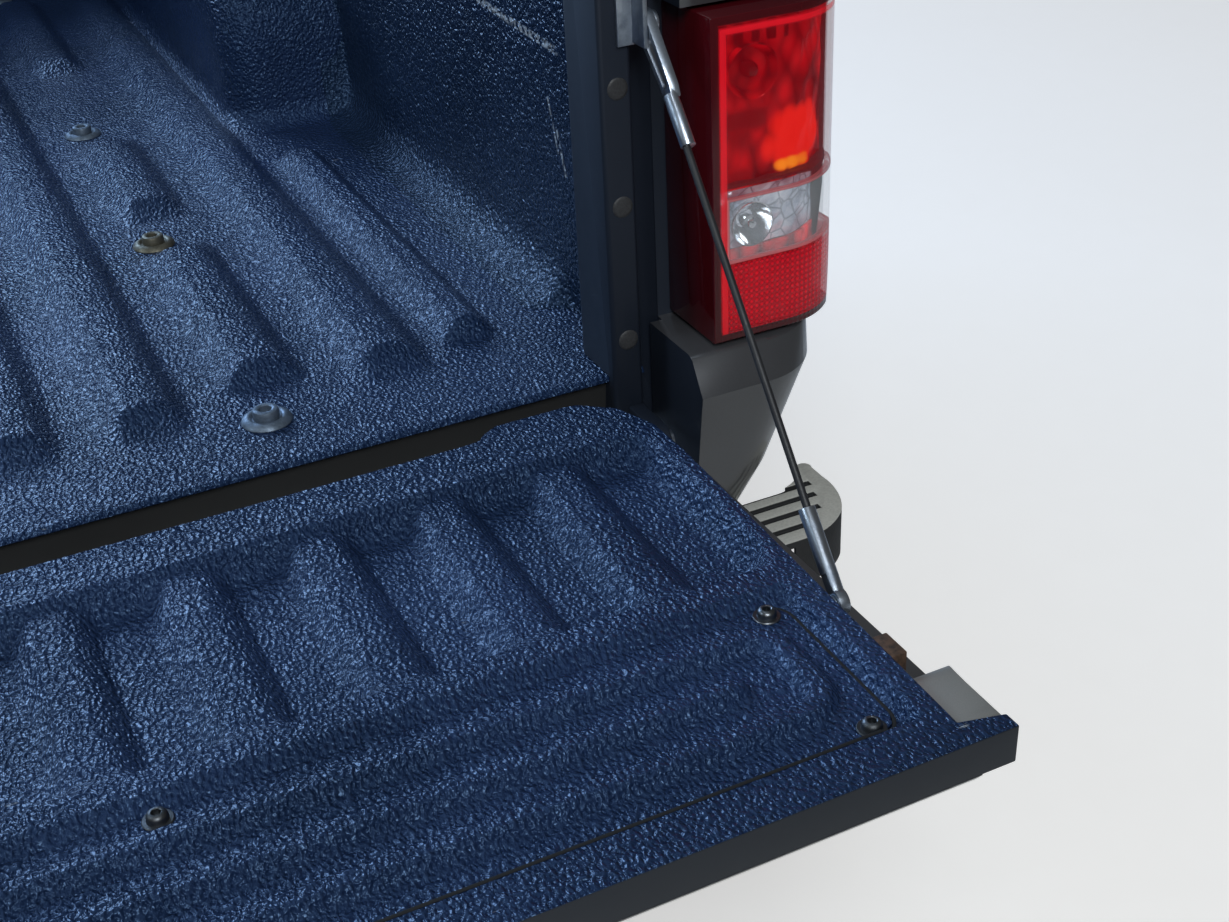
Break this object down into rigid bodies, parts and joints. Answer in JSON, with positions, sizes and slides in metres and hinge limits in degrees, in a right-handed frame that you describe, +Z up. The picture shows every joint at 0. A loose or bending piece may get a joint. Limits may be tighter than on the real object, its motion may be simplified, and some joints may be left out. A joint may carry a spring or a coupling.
{
  "type": "pickup truck load bed",
  "caption": "Load bed of a compact pickup truck: ribbed floor, walls with wheelhouses, tail lamps, step bumper, and a tailgate let down on folding cables.",
  "frame": {"origin": "centre of the outer bed bolts, on the underside of the cross sills, where the bed sits on a chassis", "axes": "+X to the truck's right, +Y forward to the cab, +Z up"},
  "size_m": [1.743, 2.416, 0.769],
  "materials": {
    "bed_liner": "sprayed liner, pebbled and half gloss",
    "body_paint": "dark grey metallic under clear coat",
    "pillar_coat": "charcoal, low gloss",
    "underbody": "black, matt",
    "bumper_paint": "dark grey, half gloss",
    "step_plastic": "grained, faded",
    "trim_plastic": "grained black",
    "lamp_red": "clear red, polished",
    "lamp_clear": "clear, polished",
    "lamp_bright": "bright",
    "zinc": "zinc plated, dull",
    "rusty_steel": "rusted",
    "dark_steel": "dark plated",
    "cable_black": "black sleeve",
    "plate_white": "plain, no text"
  },
  "bodies": {
    "bed": {"bed_bolts": "zinc", "bedside_left": "body_paint", "bedside_right": "body_paint", "blank_plate": "plate_white", "bumper_bar": "bumper_paint", "bumper_brackets": "underbody", "bumper_pad_centre": "step_plastic", "bumper_pad_left": "step_plastic", "bumper_pad_right": "step_plastic", "cable_anchor_left": "zinc", "cable_anchor_right": "zinc", "cross_sills": "underbody", "floor_pan": "bed_liner", "front_panel": "bed_liner", "fuel_cap": "trim_plastic", "fuel_hinge": "zinc", "hinge_bracket_left": "pillar_coat", "hinge_bracket_right": "pillar_coat", "lamp_bowls_left": "lamp_bright", "lamp_bowls_right": "lamp_bright", "lamp_housing_left": "trim_plastic", "lamp_housing_right": "trim_plastic", "lamp_lens_left": "lamp_red", "lamp_lens_right": "lamp_red", "lamp_window_left": "lamp_clear", "lamp_window_right": "lamp_clear", "rear_pillar_left": "pillar_coat", "rear_pillar_right": "pillar_coat", "wheelhouse_left": "bed_liner", "wheelhouse_right": "bed_liner"},
    "tailgate": {"access_cover": "bed_liner", "cable_studs": "zinc", "cover_screws": "dark_steel", "hinge_pins": "zinc", "latch_left": "rusty_steel", "latch_right": "rusty_steel", "tailgate_handle": "trim_plastic", "tailgate_inner": "bed_liner", "tailgate_outer": "body_paint"},
    "fuel_door": {"fuel_door": "body_paint"},
    "upper_cable_right": {"cable_eye_right": "zinc", "cable_upper_right": "cable_black"},
    "cable_fold_right": {"cable_bend_right": "cable_black"},
    "lower_cable_right": {"cable_lower_right": "cable_black", "cable_sleeve_right": "zinc"},
    "upper_cable_left": {"cable_eye_left": "zinc", "cable_upper_left": "cable_black"},
    "cable_fold_left": {"cable_bend_left": "cable_black"},
    "lower_cable_left": {"cable_lower_left": "cable_black", "cable_sleeve_left": "zinc"}
  },
  "joints": [
    {"name": "tailgate_hinge", "type": "hinge", "parent": "bed", "child": "tailgate", "pos_m": [0, -0.9135, 0.0205], "axis": [1, 0, 0], "range_deg": [-90, 0]},
    {"name": "cable_swing_right", "type": "hinge", "parent": "bed", "child": "upper_cable_right", "pos_m": [0.688, -0.883, 0.376], "axis": [1, 0, 0], "range_deg": [0, 42.92]},
    {"name": "cable_hang_right", "type": "hinge", "parent": "tailgate", "child": "lower_cable_right", "pos_m": [0.668, -1.205, 0.034], "axis": [1, 0, 0], "range_deg": [-50.15, 0]},
    {"name": "cable_fold_right", "type": "hinge", "parent": "lower_cable_right", "child": "cable_fold_right", "pos_m": [0.6742, -1.0748, 0.17228], "axis": [1, 0, 0], "range_deg": [0, 93.03]},
    {"name": "cable_swing_left", "type": "hinge", "parent": "bed", "child": "upper_cable_left", "pos_m": [-0.688, -0.883, 0.376], "axis": [1, 0, 0], "range_deg": [0, 42.92]},
    {"name": "cable_hang_left", "type": "hinge", "parent": "tailgate", "child": "lower_cable_left", "pos_m": [-0.668, -1.205, 0.034], "axis": [1, 0, 0], "range_deg": [-50.15, 0]},
    {"name": "cable_fold_left", "type": "hinge", "parent": "lower_cable_left", "child": "cable_fold_left", "pos_m": [-0.6742, -1.0748, 0.17228], "axis": [1, 0, 0], "range_deg": [0, 93.03]},
    {"name": "fuel_door_hinge", "type": "hinge", "parent": "bed", "child": "fuel_door", "pos_m": [-0.8695, 0.88, 0.326], "axis": [0, 0, -1], "range_deg": [0, 85]}
  ],
  "couplings": [
    {"joint": "cable_swing_right", "follows": "tailgate_hinge", "ratio": -0.47581},
    {"joint": "cable_hang_right", "follows": "tailgate_hinge", "ratio": 0.55606},
    {"joint": "cable_fold_right", "follows": "tailgate_hinge", "ratio": -1.0325},
    {"joint": "cable_swing_left", "follows": "tailgate_hinge", "ratio": -0.47581},
    {"joint": "cable_hang_left", "follows": "tailgate_hinge", "ratio": 0.55606},
    {"joint": "cable_fold_left", "follows": "tailgate_hinge", "ratio": -1.0325}
  ]
}
